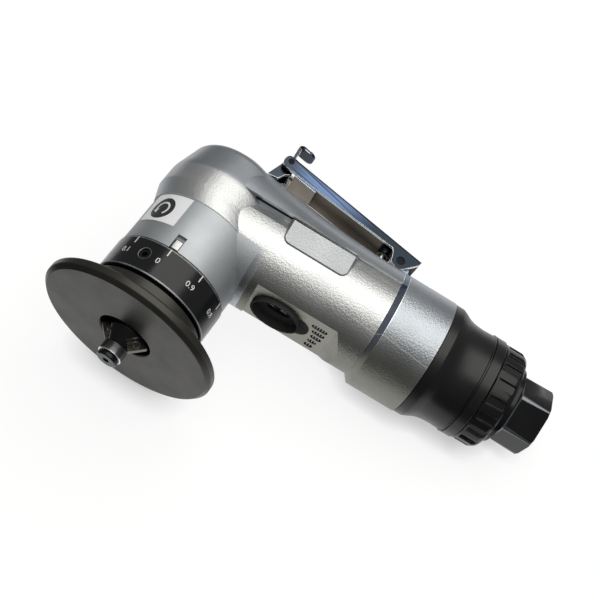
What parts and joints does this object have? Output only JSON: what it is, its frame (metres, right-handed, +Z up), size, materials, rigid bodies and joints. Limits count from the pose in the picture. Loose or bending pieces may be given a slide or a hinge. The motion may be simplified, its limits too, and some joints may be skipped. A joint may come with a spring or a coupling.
{
  "type": "portable beveling machine",
  "caption": "Hand-held air bevelling machine: angle head with cutter, guide roller, round base plate and graduated depth ring, on a lever-throttle handle with a rear hose inlet.",
  "frame": {"origin": "centre of the base plate's underside, on the cutter axis", "axes": "+Z up the cutter axis from the work into the head, +X along the handle away from the head (the handle rises 5 degrees), +Y to the left seen from behind the handle"},
  "size_m": [0.1792, 0.071, 0.1184],
  "materials": {
    "cast_aluminium": "bead-blasted casting",
    "phosphated_steel": "dark phosphate, polished rim",
    "black_anodised": "black anodised, white marks",
    "black_rubber": "matt",
    "black_nylon": "satin",
    "black_oxide": "black oxide",
    "dark_chrome": "dark chrome",
    "ground_steel": "ground",
    "gear_steel": "hardened",
    "spring_steel": "drawn wire",
    "carbide": "ground carbide",
    "grey_iron": "honed",
    "turned_aluminium": "turned",
    "vane_resin": "fabric-filled resin",
    "brass": "turned",
    "seal_rubber": "smooth",
    "felt": "pressed felt",
    "label_film": "printed film"
  },
  "bodies": {
    "housing": {"housing": "cast_aluminium", "bearing_holder": "turned_aluminium", "block_seal": "seal_rubber", "clamp_nut": "ground_steel", "dust_seal": "seal_rubber", "exhaust_insert": "black_nylon", "front_plate": "grey_iron", "guide_pin": "ground_steel", "index_key": "ground_steel", "inlet_bushing": "black_oxide", "inlet_seal": "seal_rubber", "inlet_strainer": "brass", "lever_pin": "ground_steel", "motor_cylinder": "grey_iron", "name_label": "label_film", "rear_cover": "black_rubber", "rear_plate": "grey_iron", "retainer_nut": "ground_steel", "rotor_front_bearing_balls": "ground_steel", "rotor_front_bearing_outer": "ground_steel", "rotor_rear_bearing_balls": "ground_steel", "rotor_rear_bearing_outer": "ground_steel", "silencer_felt": "felt", "snap_ring": "ground_steel", "spindle_lower_bearing_balls": "ground_steel", "spindle_lower_bearing_outer": "ground_steel", "spindle_upper_bearing_balls": "ground_steel", "spindle_upper_bearing_outer": "ground_steel", "throttle_bush": "brass", "valve_block": "turned_aluminium", "valve_spring": "spring_steel"},
    "spindle": {"spindle": "ground_steel", "gear_spacer": "ground_steel", "bevel_gear": "gear_steel", "gear_nut": "ground_steel", "spindle_lower_bearing_inner": "ground_steel", "spindle_upper_bearing_inner": "ground_steel", "cutter_body": "black_oxide", "cutter_inserts": "carbide", "insert_screws": "ground_steel", "roller_screw": "ground_steel", "guide_roller_inner": "ground_steel", "guide_roller_balls": "ground_steel"},
    "guide_roller": {"guide_roller_outer": "ground_steel"},
    "depth_ring": {"depth_ring": "black_anodised", "ring_set_screw": "black_oxide"},
    "base_plate": {"base_plate": "phosphated_steel"},
    "rotor": {"rotor": "gear_steel", "vanes": "vane_resin", "bevel_pinion": "gear_steel", "rotor_front_bearing_inner": "ground_steel", "rotor_rear_bearing_inner": "ground_steel"},
    "lever": {"lever": "dark_chrome", "catch_pin": "ground_steel", "catch_spring": "spring_steel"},
    "catch": {"safety_catch": "dark_chrome"},
    "plunger": {"valve_plunger": "ground_steel", "plunger_seal": "seal_rubber"},
    "regulator": {"regulator_ring": "black_nylon"}
  },
  "joints": [
    {"name": "spindle_spin", "type": "hinge", "parent": "housing", "child": "spindle", "pos_m": [0, 0, 0], "axis": [0, 0, 1], "continuous": true},
    {"name": "rotor_spin", "type": "hinge", "parent": "housing", "child": "rotor", "pos_m": [0, 0, 0.0552], "axis": [0.9962, 0, 0.0872], "continuous": true},
    {"name": "guide_roller_spin", "type": "hinge", "parent": "spindle", "child": "guide_roller", "pos_m": [0, 0, -0.007], "axis": [0, 0, 1], "continuous": true},
    {"name": "depth_ring_turn", "type": "hinge", "parent": "housing", "child": "depth_ring", "pos_m": [0, 0, 0.021], "axis": [0, 0, 1], "range_deg": [-300, 300]},
    {"name": "base_plate_feed", "type": "slide", "parent": "housing", "child": "base_plate", "axis": [0, 0, 1], "range_m": [-0.00083, 0.00083]},
    {"name": "throttle_lever", "type": "hinge", "parent": "housing", "child": "lever", "pos_m": [0.06542, 0, 0.08763], "axis": [0, -1, 0], "range_deg": [0, 6], "stiffness_Nm_per_rad": 1.2, "springref_deg": -14.32},
    {"name": "safety_catch_roll", "type": "hinge", "parent": "lever", "child": "catch", "pos_m": [0.00926, 0, 0.09535], "axis": [0, 1, 0], "range_deg": [0, 66.5]},
    {"name": "valve_plunger_stroke", "type": "slide", "parent": "housing", "child": "plunger", "axis": [0.0872, 0, -0.9962], "range_m": [0, 0.0009], "deforming": ["valve_spring"]},
    {"name": "regulator_turn", "type": "hinge", "parent": "housing", "child": "regulator", "pos_m": [0.12203, 0, 0.06588], "axis": [0.9962, 0, 0.0872], "range_deg": [0, 90]}
  ],
  "couplings": [
    {"joint": "spindle_spin", "follows": "rotor_spin", "ratio": 0.5},
    {"joint": "depth_ring_turn", "follows": "base_plate_feed", "rad_per_m": -6283.2},
    {"joint": "safety_catch_roll", "follows": "throttle_lever", "ratio": 11},
    {"joint": "valve_plunger_stroke", "follows": "throttle_lever", "m_per_rad": 0.0083}
  ]
}
